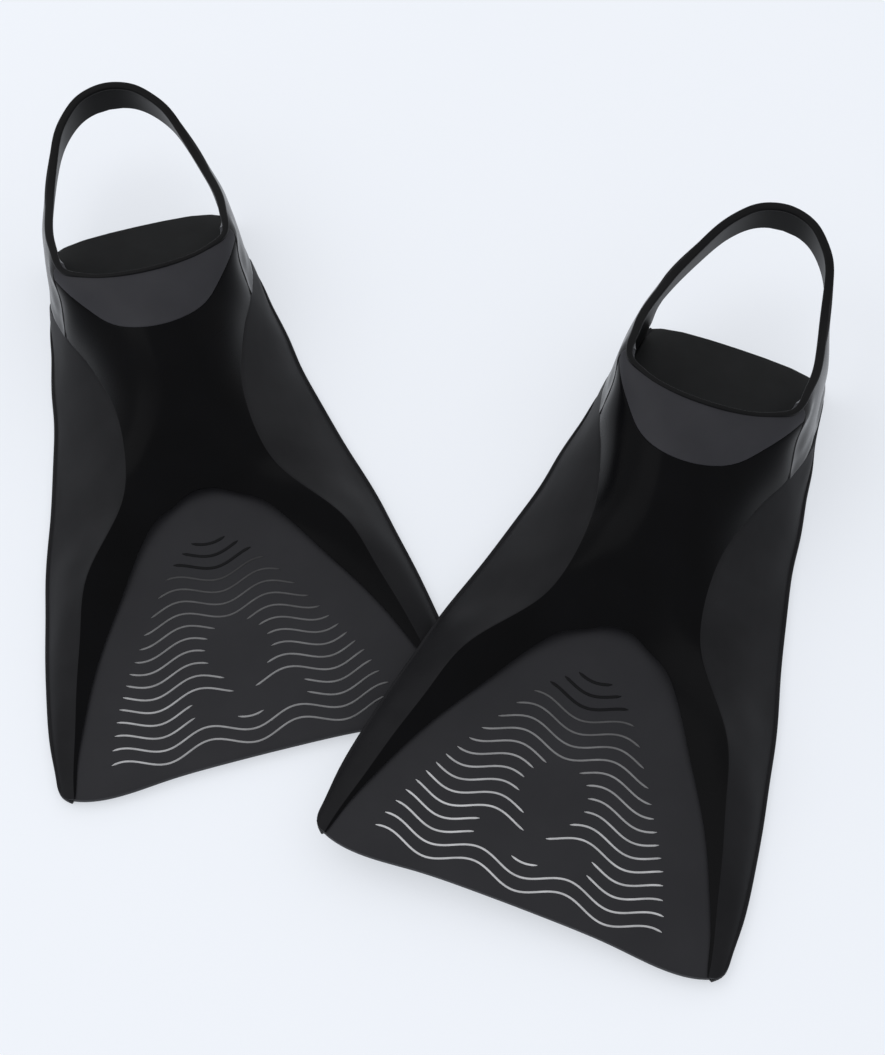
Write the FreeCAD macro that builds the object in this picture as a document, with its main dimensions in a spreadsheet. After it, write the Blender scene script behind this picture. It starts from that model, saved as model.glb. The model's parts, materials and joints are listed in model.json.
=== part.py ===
import FreeCAD, Part

import math
import os

from FreeCAD import Placement, Rotation, Vector

# A pair of short swim fins. Each fin is drawn in its own frame: X across, the tip towards -Y, +Z up
# and the ankle at the origin. "Ahead" is a distance from the ankle towards the tip, so y = -ahead.
# The left fin lies flat and the right fin leans on its rail.

doc = FreeCAD.newDocument("swim_fins")

# Driving dimensions, mm and degrees. Each cell's alias is the name used in the expressions.
dimensions = [
    ("blade_half_width", 105.0, "half the width across the tip corners"),
    ("fin_reach", 307.0, "ankle to the furthest point of the trailing edge"),
    ("rim_height", 72.0, "floor to the highest point of the foot opening's rim"),
    ("skin", 3.5, "wall of the upper, the panels and the gussets"),
    ("web_thickness", 3.2, "thin blade between the rails"),
    ("web_root_height", 19.3, "web's upper face at its apex"),
    ("web_tip_height", 6.2, "web's upper face at the trailing edge"),
    ("sole_thickness", 3.0, "outsole"),
    ("footbed_thickness", 2.0, "inner sole"),
    ("groove_width", 2.0, "tread groove"),
    ("groove_depth", 1.0, "tread groove"),
    ("groove_pitch", 14.0, "tread grooves, centre to centre"),
    ("groove_length", 68.0, "tread groove, across the sole"),
    ("bead_lip", 1.0, "how far the bead stands out from the panel"),
    ("toe_depth", 151.0, "ankle to the front of the toe wall"),
    ("toe_wall_thickness", 3.0, "bulkhead at the toe"),
    ("strap_thickness", 4.4, "heel strap"),
    ("strap_back", 100.0, "ankle to the back of the strap's upper edge"),
    ("strap_lean", 0.14, "how much the strap widens for each mm down"),
    ("hinge_behind", 30.0, "strap's bending axis, behind the ankle"),
    ("hinge_height", 48.0, "strap's bending axis, above the floor"),
    ("hinge_radius", 12.3, "round end of the strap"),
    ("hinge_gap", 0.3, "between the strap's round end and the gusset"),
    ("bend_down", 35.0, "degrees that the strap bends down"),
    ("bend_up", 25.0, "degrees that the strap bends up"),
    ("rib_width", 1.0, "wave rib"),
    ("rib_height", 0.3, "wave rib above the web"),
    ("rib_pitch", 7.1, "wave ribs, centre to centre along the web"),
    ("rib_first", 26.2, "apex of the web to the first wave rib"),
    ("rib_margin", 21.0, "end of a wave rib to the edge of the web"),
    ("wave_length", 45.5, "crest to crest of a wave rib"),
    ("wave_height", 3.4, "half the swing of a wave rib"),
    ("rest_gap", 0.8, "right fin's rail above the left fin's"),
]
rib_count = 17

sheet = doc.addObject("Spreadsheet::Sheet", "Dimensions")
for row, (alias, value, note) in enumerate(dimensions, start=1):
    sheet.set(f"A{row}", alias)
    sheet.set(f"B{row}", str(value))
    sheet.set(f"C{row}", note)
    sheet.setAlias(f"B{row}", alias)
doc.recompute()
size = {alias: float(sheet.get(alias)) for alias, value, note in dimensions}

# The outlines below are drawn for a fin of this size and follow the driving dimensions from there.
across = size["blade_half_width"] / 105.0
along = size["fin_reach"] / 307.0
upward = size["rim_height"] / 72.0

bead_height = size["sole_thickness"] + size["footbed_thickness"]
skin = size["skin"]

# Cross-sections of the upper, from the heel to the tip: distance ahead, half-width of the bead, then
# four points (x, z) on one side from the panel's middle to the crown, and the height on the centre
# line. Each crosses the panel, its upper crease, the shoulder and the slope to the crown.
stations = [
    (-50, 51.8, (50.6, 12), (48.6, 28), (46.4, 43), (43.6, 58), 78),
    (-24, 55.0, (53.6, 13), (51.6, 29), (49.8, 45), (47.6, 62), 82),
    (0, 58.0, (56.4, 14), (54.2, 30), (52.0, 47), (49.5, 65.5), 84),
    (15, 61.0, (59.0, 14), (55.6, 30), (52.4, 48), (48.8, 67), 79),
    (31, 63.0, (58.2, 16), (52.8, 32), (49.3, 51), (43.0, 67.5), 74),
    (43, 65.0, (57.7, 17), (51.2, 31.5), (46.5, 51), (36, 67.5), 72.5),
    (58, 67.3, (57.5, 18), (46, 34), (39.5, 51), (26, 65), 70.5),
    (75, 69.0, (55.5, 20), (40.5, 36), (32, 51.5), (17, 64), 67.5),
    (100, 73.5, (54.5, 21), (34.6, 37.8), (24, 48), (12, 55), 57),
    (122, 78.0, (56.5, 21), (33.8, 37.2), (23, 42), (12, 44.5), 45),
    (140, 82.0, (60.5, 20.5), (36, 35.2), (24, 36), (12, 34.2), 33.5),
    (157, 86.3, (65, 20), (41.8, 32.6), (28, 28.5), (14, 23.5), 22),
    (176, 90.5, (74, 19.5), (55, 31), (44, 25.5), (34, 20), 14),
    (194, 93.5, (81, 17.5), (67.5, 29), (57, 22.5), (46, 18), 12),
    (220, 98.0, (89, 13), (76.5, 22), (70, 18.3), (62, 14.7), 9),
    (245, 101.5, (94.3, 10.5), (83.5, 17), (79.5, 14.8), (74.5, 12.4), 7),
    (272, 104.1, (98.4, 8.5), (90, 12), (88, 11), (85.5, 9.8), 6),
    (301, 104.6, (100.5, 6.3), (96.4, 7.4), (95.5, 7.1), (94, 6.8), 5.4),
    (318, 104.6, (100.7, 5.9), (97.5, 6.6), (96.5, 6.4), (95, 6.1), 4.8),
]

# From here to the tip the upper is two rails, which are hollowed straight up from below.
rail_start = 160

# Plan outlines, right half, as (x, ahead).
web_edge = [(7, 155), (15, 159), (26, 165.6), (37, 177.6), (52, 202), (64, 222), (75.5, 244), (85, 267),
            (92.5, 288.5), (95.8, 301), (98.5, 316)]
web_apex = (0, 154)
saddle_edge = [(52.5, 10), (52, 30), (50.6, 43), (44, 64), (39.5, 79), (34.5, 104), (33.5, 122), (35.5, 140),
               (41, 155.5), (50, 170.5), (60, 182.5), (67.5, 194), (72.5, 207), (79, 228), (83.5, 245),
               (88, 262), (92, 283.6), (96.4, 301.5), (99, 316)]
collar_front = (0, 76)
collar_edge = [(11, 74.5), (19.5, 70), (27.5, 62.5), (34, 54), (41, 44), (46, 35), (49.4, 26), (50.4, 14)]
opening_front = (0, 41.5)
opening_edge = [(18, 38.5), (30, 33), (38.5, 26), (43.6, 15), (45.6, 1), (44.2, -22), (40.5, -50), (38, -80)]
trailing_edge = [(95, 304.5), (86, 306.5), (75, 307), (50, 304.8), (25, 303.7)]
trailing_middle = (0, 303.5)
tip_corner = [(104.6, 296), (103.8, 300)]
heel_edge = [(16, -49.6), (32, -48), (43, -45), (49, -41.5), (52.6, -35)]
heel_middle = (0, -50)

# Side outlines, as (ahead, height).
rim_line = [(-70, 59), (-38, 60), (-24, 61.8), (-10, 64), (0, 66), (12, 68), (20, 69.4), (26, 71.4), (31, 76),
            (34, 90), (34, 130), (-70, 130)]
gusset_outline = [(22, 90), (22, 69), (42, 30.5), (17, 24), (-8, 0), (-44, 0), (-42, 8), (-37, 15),
                  (-34.5, 29.8), (-34.5, 48), (-24, 56), (-24, 90)]
strap_back_plan = [(48.5, -18), (44.8, -40), (39, -60), (33, -76), (25.7, -87), (18, -94.5), (10, -98.5)]


def plan(point):
    """A plan point (x, ahead), at the drawn fin's proportions."""
    return Vector(point[0] * across, -point[1] * along, 0)


def side(point):
    """A side-view point (ahead, height), at the drawn fin's proportions."""
    return Vector(0, -point[0] * along, point[1] * upward)


def curve(points):
    """One smooth edge through the points."""
    spline = Part.BSplineCurve()
    spline.interpolate(points)
    return spline.toShape()


def mirrored(points):
    """The same points on the other side of the fin's centre plane, in reverse order."""
    return [Vector(-p.x, p.y, p.z) for p in reversed(points)]


def feature(name, shape):
    """A document object that holds a shape built from the sheet's sizes."""
    holder = doc.addObject("Part::Feature", name)
    holder.Shape = shape
    return holder


def upright(name, face, low=-20.0, high=110.0):
    """A plan outline carried straight up through the whole height of the fin."""
    raised = face.copy()
    raised.translate(Vector(0, 0, low))
    return feature(name, raised.extrude(Vector(0, 0, high - low)))


def sideways(name, points, low=-150.0, high=150.0):
    """A side-view polygon carried across the fin from x = low to x = high."""
    corners = [Vector(low, p.y, p.z) for p in points]
    face = Part.Face(Part.makePolygon(corners + corners[:1]))
    return feature(name, face.extrude(Vector(high - low, 0, 0)))


def boolean(kind, name, base, tool):
    """A Part::Cut or Part::Common of two objects."""
    result = doc.addObject(kind, name)
    result.Base = base
    result.Tool = tool
    return result


def cut(name, base, *tools):
    """The base with each tool taken away in turn."""
    for step, tool in enumerate(tools, start=1):
        base = boolean("Part::Cut", f"{name}_{step}" if step < len(tools) else name, base, tool)
    return base


def common(name, base, *tools):
    """What the base shares with every tool."""
    for step, tool in enumerate(tools, start=1):
        base = boolean("Part::Common", f"{name}_{step}" if step < len(tools) else name, base, tool)
    return base


def box(name, low, high):
    """A plain block between two corners, used to trim or to halve."""
    block = doc.addObject("Part::Box", name)
    block.Length, block.Width, block.Height = high - low
    block.Placement = Placement(low, Rotation())
    return block


# --- Upper: one outer body, with an inner body a skin's thickness inside it -----------------------

def side_profile(station, inset):
    """One side of a cross-section, from the floor's edge to the crown, moved inwards by inset."""
    ahead, edge, *points, crown = station
    half = edge * across - size["bead_lip"]
    low = bead_height - 2
    outer = [Vector(half, 0, low)] + [Vector(p[0] * across, 0, p[1] * upward) for p in points]
    outer.append(Vector(0, 0, crown * upward))
    if inset == 0:
        return outer
    inner = []
    for before, here, after in zip(outer, outer[1:], outer[2:]):
        tangent = (after - before).normalize()
        inwards = Vector(0, 0, 1) if ahead > rail_start else Vector(tangent.z, 0, -tangent.x)
        inner.append(here - inwards * inset)
    start = Vector(half - inset, 0, min(low, inner[0].z - 1))
    return [start] + inner + [Vector(0, 0, outer[-1].z - inset)]


def section_wire(station, inset, floor):
    """A closed cross-section: floor, two upright edges and one smooth arch."""
    right = side_profile(station, inset)
    arch = right + mirrored(right[:-1])
    for point in arch:
        point.y = -station[0] * along
    low_right = Vector(arch[0].x, arch[0].y, floor)
    low_left = Vector(arch[-1].x, arch[-1].y, floor)
    return Part.Wire([
        Part.LineSegment(low_left, low_right).toShape(),
        Part.LineSegment(low_right, arch[0]).toShape(),
        curve(arch),
        Part.LineSegment(arch[-1], low_left).toShape(),
    ])


outer_body = feature("outer_body", Part.makeLoft(
    [section_wire(s, 0, 0) for s in stations], True, False))
inner_body = feature("inner_body", Part.makeLoft([section_wire(s, skin, -10) for s in stations], True, False))
below_bead = box("below_bead", Vector(-200, -400, -20), Vector(200, 150, bead_height))
below_bead.setExpression("Height", "20 + Dimensions.sole_thickness + Dimensions.footbed_thickness")
shell = cut("shell", outer_body, below_bead, inner_body)


# --- Plan outline of the whole fin, the bead along it and the sole inside it ----------------------

def edge_line(inset):
    """The fin's right-hand edge from the heel to the tip, moved inwards by inset."""
    return [Vector(s[1] * across - inset, -s[0] * along, 0) for s in stations]


bead_width = skin + size["bead_lip"]
heel = [plan(p) for p in heel_edge]
right_edge = heel[-1:] + [p for p in edge_line(0) if -290 * along < p.y < heel[-1].y]
right_edge += [plan(p) for p in tip_corner]
tail = [right_edge[-1]] + [plan(p) for p in trailing_edge]
fin_face = Part.Face(Part.Wire([
    curve(mirrored(heel) + [plan(heel_middle)] + heel),
    curve(right_edge),
    curve(tail + [plan(trailing_middle)] + mirrored(tail)),
    curve(mirrored(right_edge)),
]))
inset_line = edge_line(bead_width)
inset_line = [inset_line[0] + Vector(0, 30, 0)] + inset_line
inset_face = Part.Face(Part.Wire([
    curve(inset_line),
    Part.LineSegment(inset_line[-1], mirrored(inset_line)[0]).toShape(),
    curve(mirrored(inset_line)),
    Part.LineSegment(mirrored(inset_line)[-1], inset_line[0]).toShape(),
]))
fin_outline = upright("fin_outline", fin_face)
inset_outline = upright("inset_outline", inset_face)

right_half = box("right_half", Vector(0, -400, -30), Vector(200, 150, 120))

bead_slab = box("bead_slab", Vector(-200, -400, 0), Vector(200, 150, 10))
bead_slab.setExpression("Height", "Dimensions.sole_thickness + Dimensions.footbed_thickness")
bead_ring = common("bead_ring", cut("bead_space", bead_slab, inset_outline), fin_outline)

toe_y = -size["toe_depth"]
sole_slab = box("sole_slab", Vector(-200, toe_y, 0), Vector(200, 150, 10))
sole_slab.setExpression("Height", "Dimensions.sole_thickness")
sole_blank = common("sole_blank", sole_slab, fin_outline, inset_outline)
bed_slab = box("bed_slab", Vector(-200, toe_y, size["sole_thickness"]), Vector(200, 150, 20))
bed_slab.setExpression("Height", "Dimensions.footbed_thickness")
bed_slab.setExpression("Placement.Base.z", "Dimensions.sole_thickness")
footbed = common("footbed", bed_slab, fin_outline, inset_outline)

# Tread: cross grooves in the underside, all alike, between the heel and the ball of the foot.
groove_reach = size["toe_depth"] - size["groove_pitch"]
groove_places = []
place = -50 * along + size["groove_pitch"]
while place < groove_reach:
    groove_places.append(place)
    place += size["groove_pitch"]
grooves = []
for number, ahead in enumerate(groove_places, start=1):
    groove = box(f"groove_{number}", Vector(0, -ahead, -1), Vector(1, -ahead + 1, 0))
    groove.setExpression("Placement.Base.x", "-Dimensions.groove_length / 2")
    groove.setExpression("Length", "Dimensions.groove_length")
    groove.setExpression("Width", "Dimensions.groove_width")
    groove.setExpression("Height", "Dimensions.groove_depth + 1")
    grooves.append(groove)
tread = doc.addObject("Part::Compound", "tread")
tread.Links = grooves
sole_plate = cut("sole_plate", sole_blank, tread)

toe_block = box("toe_block", Vector(-200, toe_y, bead_height), Vector(200, toe_y + 1, 60))
toe_block.setExpression("Width", "Dimensions.toe_wall_thickness")


# --- Dividing the upper into its mouldings --------------------------------------------------------

def arch_outline(name, apex, right, low=-20.0):
    """An outline that runs up one side, over its apex and down the other, closed straight."""
    points = [plan(p) for p in right]
    edge = curve(mirrored(points) + [plan(apex)] + points)
    closing = Part.LineSegment(points[-1], mirrored(points)[0]).toShape()
    return upright(name, Part.Face(Part.Wire([edge, closing])), low)


web_outline = arch_outline("web_outline", web_apex, web_edge)
collar_outline = arch_outline("collar_outline", collar_front, collar_edge)

saddle_right = [plan(p) for p in saddle_edge]
saddle_left = mirrored(saddle_right)
saddle_outline = upright("saddle_outline", Part.Face(Part.Wire([
    curve(saddle_right),
    Part.LineSegment(saddle_right[-1], saddle_left[0]).toShape(),
    curve(saddle_left),
    Part.LineSegment(saddle_left[-1], saddle_right[0]).toShape(),
])))

# The foot opening is open to the heel.
opening = arch_outline("opening", opening_front, opening_edge, low=bead_height - 1)

above_rim = sideways("above_rim", [side(p) for p in rim_line])
gusset_block = sideways("gusset_block", [side(p) for p in gusset_outline])
upper = cut("upper", common("trimmed_shell", shell, fin_outline), opening, above_rim)


# --- Heel strap: a band behind the heel that ends in a round at each side --------------------------

def strap_wire(height, inset):
    """The strap's plan at a height, moved inwards by inset: it widens as it goes down."""
    spread = size["strap_lean"] * (strap_top - height) - inset
    stretch = size["strap_back"] / 100.0
    right = [Vector(p[0] * across, -p[1] * (stretch if p[1] < -40 else 1), 0) for p in strap_back_plan]
    points = right + [Vector(0, size["strap_back"], 0)] + mirrored(right)
    moved = []
    for index, here in enumerate(points):
        before = points[max(index - 1, 0)]
        after = points[min(index + 1, len(points) - 1)]
        tangent = (after - before).normalize()
        moved.append(here + Vector(tangent.y, -tangent.x, 0) * spread + Vector(0, 0, height))
    return Part.Wire([curve(moved), Part.LineSegment(moved[-1], moved[0]).toShape()])


strap_top = 66 * upward
strap_levels = (strap_top + 14, 22 * upward)
strap_outer = feature("strap_outer", Part.makeLoft([strap_wire(z, 0) for z in strap_levels], True, True))
strap_inner = feature("strap_inner", Part.makeLoft(
    [strap_wire(z, size["strap_thickness"]) for z in strap_levels], True, True))

pivot = Vector(0, size["hinge_behind"], size["hinge_height"])
round_radius = size["hinge_radius"]
back = size["strap_back"]


def round_end(name, radius):
    """A cylinder about the strap's bending axis."""
    disc = doc.addObject("Part::Cylinder", name)
    disc.Radius = radius
    disc.Height = 300
    disc.Placement = Placement(Vector(-150, pivot.y, pivot.z), Rotation(Vector(0, 1, 0), 90))
    disc.setExpression("Placement.Base.y", "Dimensions.hinge_behind")
    disc.setExpression("Placement.Base.z", "Dimensions.hinge_height")
    return disc


strap_round = round_end("strap_round", round_radius)
strap_round.setExpression("Radius", "Dimensions.hinge_radius")
socket = round_end("socket", round_radius + size["hinge_gap"])
socket.setExpression("Radius", "Dimensions.hinge_radius + Dimensions.hinge_gap")

# The band's edges leave the round at its top and bottom. The upper one climbs towards the heel.
rim_back = 68 * upward
reach = back - pivot.y
climb = rim_back - pivot.z - round_radius
band = sideways("band", [
    Vector(0, pivot.y, pivot.z + round_radius),
    Vector(0, pivot.y + 0.2 * reach, pivot.z + round_radius + 0.3),
    Vector(0, pivot.y + 0.45 * reach, pivot.z + round_radius + 0.28 * climb),
    Vector(0, pivot.y + 0.68 * reach, pivot.z + round_radius + 0.62 * climb),
    Vector(0, back, rim_back),
    Vector(0, back + 12, rim_back),
    Vector(0, back + 12, pivot.z - 1.2),
    Vector(0, back - 3, pivot.z - 2.0),
    Vector(0, pivot.y + 0.6 * reach, pivot.z - 0.45 * round_radius),
    Vector(0, pivot.y + 0.3 * reach, pivot.z - 0.72 * round_radius),
    Vector(0, pivot.y, pivot.z - round_radius),
])
strap_side = doc.addObject("Part::Fuse", "strap_side")
strap_side.Base = band
strap_side.Tool = strap_round
heel_strap = common("heel_strap", cut("strap_shell", strap_outer, strap_inner), strap_side)


def swept(angle, radius):
    """Where the band's edge leaves the round once the strap has turned, and a point far along it."""
    turn = math.radians(angle)
    sign = 1 if angle > 0 else -1
    touch = pivot + Vector(0, -math.sin(turn) * sign, math.cos(turn) * sign) * radius
    return touch, touch + Vector(0, math.cos(turn), math.sin(turn)) * 60


# Room for the strap to bend: the wedge between its edges at the two ends of its travel.
sweep_margin = 6.0
room_radius = round_radius + size["hinge_gap"]
high_touch, high_far = swept(size["bend_up"] + sweep_margin, room_radius)
low_touch, low_far = swept(-size["bend_down"] - sweep_margin, room_radius)
strap_room = sideways("strap_room", [pivot, high_touch, high_far, high_far + Vector(0, 60, 0),
                                     low_far + Vector(0, 60, 0), low_far, low_touch])

gusset_right = cut("gusset_right", common("gusset_half", upper, gusset_block, right_half), socket, strap_room)

# --- The mouldings ----------------------------------------------------------------------------------

# Behind the foot of the gusset the upper's shell belongs to no other moulding.
forward = box("forward", Vector(-200, -400, -20), Vector(200, 8, 120))
collar = cut("collar", common("collar_blank", upper, collar_outline, forward), gusset_block)
saddle_blank = common("saddle_blank", upper, saddle_outline, forward)
saddle = cut("saddle", saddle_blank, gusset_block, collar_outline, web_outline)
panel_blank = common("panel_blank", upper, right_half, forward)
panel_right = cut("panel_right", panel_blank, gusset_block, saddle_outline)
bead_right = common("bead_right", bead_ring, right_half)


def mirror(name, source):
    """The same piece on the left-hand side."""
    copy = doc.addObject("Part::Mirroring", name)
    copy.Source = source
    copy.Normal = Vector(1, 0, 0)
    return copy


# The web's upper face falls evenly from its apex to the trailing edge.
web_run = 150 * along
slope = (size["web_root_height"] - size["web_tip_height"]) / web_run
web_root = Vector(0, -web_apex[1] * along, size["web_root_height"])


def web_height(y):
    """Height of the web's upper face at a place along the fin."""
    return web_root.z - slope * (web_root.y - y)


def web_slab(name, thickness):
    """A layer under the web's upper face, longer than the web at both ends."""
    back_y, front_y = -140 * along, -330 * along
    return sideways(name, [
        Vector(0, back_y, web_height(back_y)),
        Vector(0, front_y, web_height(front_y)),
        Vector(0, front_y, web_height(front_y) - thickness),
        Vector(0, back_y, web_height(back_y) - thickness),
    ])


web = common("web", web_slab("web_layer", size["web_thickness"]), web_outline, fin_outline)

# The toe wall closes the foot pocket under the upper, and stops at the web where the two meet.
toe_wall = cut("toe_wall", common("toe_blank", toe_block, inner_body), web)


# --- Wave ribs: thin raised lines on the web, with two bare places among them --------------------------

wave_centre = -2.8 * across
bare_round = (Vector(-1.5 * across, -246 * along, 0), 16.5 * across, 17 * along)
bare_band = (Vector(-1.5 * across, -274.7 * along, 0), 28.5 * across, 6.8 * along)


def web_half_width(ahead):
    """Half the web's width at a distance ahead, along straight lines between its outline's points."""
    points = [web_apex] + web_edge
    for (x0, s0), (x1, s1) in zip(points, points[1:]):
        if s0 * along <= ahead <= s1 * along:
            return (x0 + (x1 - x0) * (ahead / along - s0) / (s1 - s0)) * across
    return points[-1][0] * across


def wave_y(x, middle):
    """Where a wave rib lies along the fin at a distance x across."""
    return -middle - size["wave_height"] * math.cos(2 * math.pi * (x - wave_centre) / size["wave_length"])


def bare(x, y):
    """Whether a point is inside the round or the oblong bare place."""
    centre, wide, deep = bare_round
    if ((x - centre.x) / wide) ** 2 + ((y - centre.y) / deep) ** 2 < 1:
        return True
    centre, wide, deep = bare_band
    return abs(x - centre.x) < wide and abs(y - centre.y) < deep


def rib_stretches(middle, half_length):
    """The runs of points, a millimetre apart, that one wave rib keeps outside the bare places."""
    steps = int(2 * half_length)
    points = [wave_centre - half_length + 2 * half_length * i / steps for i in range(steps + 1)]
    runs, run = [], []
    for x in points:
        if bare(x, wave_y(x, middle)):
            runs.append(run)
            run = []
        else:
            run.append(x)
    runs.append(run)
    return [r for r in runs if len(r) > 5]


def rib_solid(xs, middle):
    """One stretch of wave rib, standing on the web."""
    thick = Vector(0, size["rib_width"] / 2, 0)
    line = [Vector(x, wave_y(x, middle), 0) for x in xs[:-1:3] + xs[-1:]]
    near, far = [p + thick for p in line], [p - thick for p in line]
    face = Part.Face(Part.Wire([
        curve(near),
        Part.LineSegment(near[-1], far[-1]).toShape(),
        curve(far[::-1]),
        Part.LineSegment(far[0], near[0]).toShape(),
    ]))
    rib = face.extrude(Vector(0, 0, size["rib_height"]))
    rib.translate(Vector(0, -web_root.y, 0))
    rib.rotate(Vector(0, 0, 0), Vector(1, 0, 0), math.degrees(math.atan(slope)))
    rib.translate(web_root)
    return rib


ribs = []
for line in range(rib_count):
    middle = -web_root.y + size["rib_first"] + line * size["rib_pitch"]
    half_length = min(9.0 + 5.8 * line, web_half_width(middle) - size["rib_margin"])
    ribs += [rib_solid(xs, middle) for xs in rib_stretches(middle, half_length)]
wave_ribs = feature("wave_ribs", Part.makeCompound(ribs))


# --- The two fins -------------------------------------------------------------------------------------

mouldings = {
    "upper_saddle": saddle,
    "side_panel_left": mirror("panel_left", panel_right),
    "side_panel_right": panel_right,
    "instep_collar": collar,
    "ankle_gusset_left": mirror("gusset_left", gusset_right),
    "ankle_gusset_right": gusset_right,
    "heel_strap": heel_strap,
    "blade_web": web,
    "wave_ribs": wave_ribs,
    "sole_plate": sole_plate,
    "footbed": footbed,
    "edge_bead_left": mirror("bead_left", bead_right),
    "edge_bead_right": bead_right,
    "toe_wall": toe_wall,
}
doc.recompute()

# How the pair lies on the floor: where each fin's ankle is, and its turn about the upright.
left_ankle, left_turn = Vector(-153.7, 171.2, 0), 11.03
right_ankle, right_turn = Vector(148.3, 54.2, 0), -25.12
left_place = Placement(left_ankle, Rotation(Vector(0, 0, 1), left_turn))
right_place = Placement(right_ankle, Rotation(Vector(0, 0, 1), right_turn))

# The right fin stands on the straight stretch of its right-hand edge, between the heel and the place
# where the blade stops widening, and leans over until its left-hand bead clears the left fin.
lean_from = Vector(stations[0][1] * across, 50 * along, 0)
lean_to = Vector(95.6 * across, -203 * along, 0)
lean_axis = (lean_to - lean_from).normalize()


def upper_height(point):
    """Height of the flat fin's top at a point of its own frame, or zero outside its outline."""
    ahead = -point.y / along
    for before, after in zip(stations, stations[1:]):
        if before[0] <= ahead < after[0]:
            share = (ahead - before[0]) / (after[0] - before[0])
            pairs = list(zip(side_profile(before, 0), side_profile(after, 0)))
            outline = [a + (b - a) * share for a, b in pairs]
            outline.insert(0, outline[0] + Vector(size["bead_lip"], 0, 0))
            for wide, narrow in zip(outline, outline[1:]):
                if narrow.x <= abs(point.x) <= wide.x:
                    part = (wide.x - abs(point.x)) / max(wide.x - narrow.x, 1e-6)
                    return wide.z + (narrow.z - wide.z) * part
    return 0.0


def lean_angle():
    """The least turn about the edge that lifts the whole left-hand bead over the left fin."""
    least = 0.0
    for inset in (0.0, bead_width / 2, bead_width):
        line = mirrored(edge_line(inset))
        for start, finish in zip(line, line[1:]):
            for step in range(10):
                point = start + (finish - start) * (step / 10)
                below = left_place.inverse().multVec(right_place.multVec(point))
                height = upper_height(below)
                reach = (point - lean_from).cross(lean_axis).Length
                if height > 0:
                    least = max(least, math.degrees(math.asin((height + size["rest_gap"]) / reach)))
    return least


lean = lean_angle()
toward = Rotation(lean_axis, lean)
if toward.multVec(Vector(-1, 0, 0)).z < 0:
    toward = Rotation(lean_axis, -lean)
right_place = right_place.multiply(Placement(lean_from - toward.multVec(lean_from), toward))

nodes = {}
for fin, where in (("left_fin", left_place), ("right_fin", right_place)):
    for name, source in mouldings.items():
        node = doc.addObject("Part::Compound", f"{fin}_{name}")
        node.Label = f"{fin}_{name}"
        node.Links = [source]
        nodes[node.Label] = (node, where)
doc.recompute()


def pair_bounds():
    """The box around every piece of both fins."""
    bounds = FreeCAD.BoundBox()
    for node, where in nodes.values():
        placed = node.Shape.copy()
        placed.Placement = where
        bounds.add(placed.optimalBoundingBox(False))
    return bounds


# The row's origin is on the floor, at the middle of the pair.
bounds = pair_bounds()
shift = Placement(Vector(-bounds.Center.x, -bounds.Center.y, -bounds.ZMin), Rotation())
for node, where in nodes.values():
    node.Placement = shift.multiply(where)
doc.recompute()

for item in doc.Objects:
    if "Invalid" in item.State or "Error" in item.State:
        raise RuntimeError(f"{item.Name} failed: {item.State}")
for label, (node, where) in nodes.items():
    if node.Shape.isNull() or not node.Shape.isValid():
        raise RuntimeError(f"{label} has no valid shape")

os.makedirs("parts", exist_ok=True)
for label, (node, where) in nodes.items():
    node.Shape.exportStep(f"parts/{label}.step")
    print(label, len(node.Shape.Solids), "solid(s)", round(node.Shape.Volume / 1000, 2), "cm3")

print("lean", round(lean, 3), "degrees; box", bounds.XLength, bounds.YLength, bounds.ZLength)
for fin in ("left_fin", "right_fin"):
    where = nodes[f"{fin}_heel_strap"][0].Placement
    print(fin, "stands at", tuple(where.Base), "turned by", where.Rotation.Q)
    print(fin, "hinge", tuple(where.multVec(pivot)), "axis", tuple(where.Rotation.multVec(Vector(1, 0, 0))))
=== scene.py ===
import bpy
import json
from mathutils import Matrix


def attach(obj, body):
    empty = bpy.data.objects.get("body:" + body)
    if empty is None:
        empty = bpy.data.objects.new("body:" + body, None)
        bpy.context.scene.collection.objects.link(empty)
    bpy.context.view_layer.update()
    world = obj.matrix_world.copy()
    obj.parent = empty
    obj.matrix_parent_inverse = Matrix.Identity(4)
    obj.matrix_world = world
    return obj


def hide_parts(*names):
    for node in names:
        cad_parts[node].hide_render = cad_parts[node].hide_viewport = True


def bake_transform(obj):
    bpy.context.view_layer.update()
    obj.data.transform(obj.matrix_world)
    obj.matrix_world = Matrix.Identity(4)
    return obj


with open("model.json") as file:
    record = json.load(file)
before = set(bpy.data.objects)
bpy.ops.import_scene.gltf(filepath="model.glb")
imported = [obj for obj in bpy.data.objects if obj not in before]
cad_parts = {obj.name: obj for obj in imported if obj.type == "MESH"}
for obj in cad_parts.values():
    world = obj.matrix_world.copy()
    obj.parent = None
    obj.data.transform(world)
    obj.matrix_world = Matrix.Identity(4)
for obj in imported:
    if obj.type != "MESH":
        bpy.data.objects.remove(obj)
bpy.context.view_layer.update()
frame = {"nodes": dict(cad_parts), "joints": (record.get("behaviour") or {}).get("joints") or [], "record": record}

import json
import math

import bmesh
import bpy
import numpy as np
from mathutils import Matrix

# A pair of short swim fins. Shapes are worked out in each fin's own frame, in millimetres, as
# (across, ahead, up): ahead runs from the ankle to the tip of the blade. The fin's axes come from its
# strap's hinge, which stands behind and above the frame's zero, and from the mount under its sole.
hinge = {"behind": 30, "height": 48}


def placeOf(fin):
    # Gives the function that takes a fin's own millimetres to metres in the row's frame.
    joint = next(j for j in frame["joints"] if j["name"] == f"{fin}_strap_bend")
    mount = next(m for m in frame["record"]["mounts"] if m["name"] == f"{fin}_sole")
    across, up = np.array(joint["axis"], float), -np.array(mount["axis"], float)
    ahead = -np.cross(up, across)
    axes = np.stack([across, ahead / np.linalg.norm(ahead), up]) * 0.001
    origin = np.array(joint["pos_m"]) + axes[1] * hinge["behind"] - axes[2] * hinge["height"]
    return lambda points: np.asarray(points, float) @ axes + origin


# Numbers to surfaces.

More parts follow.
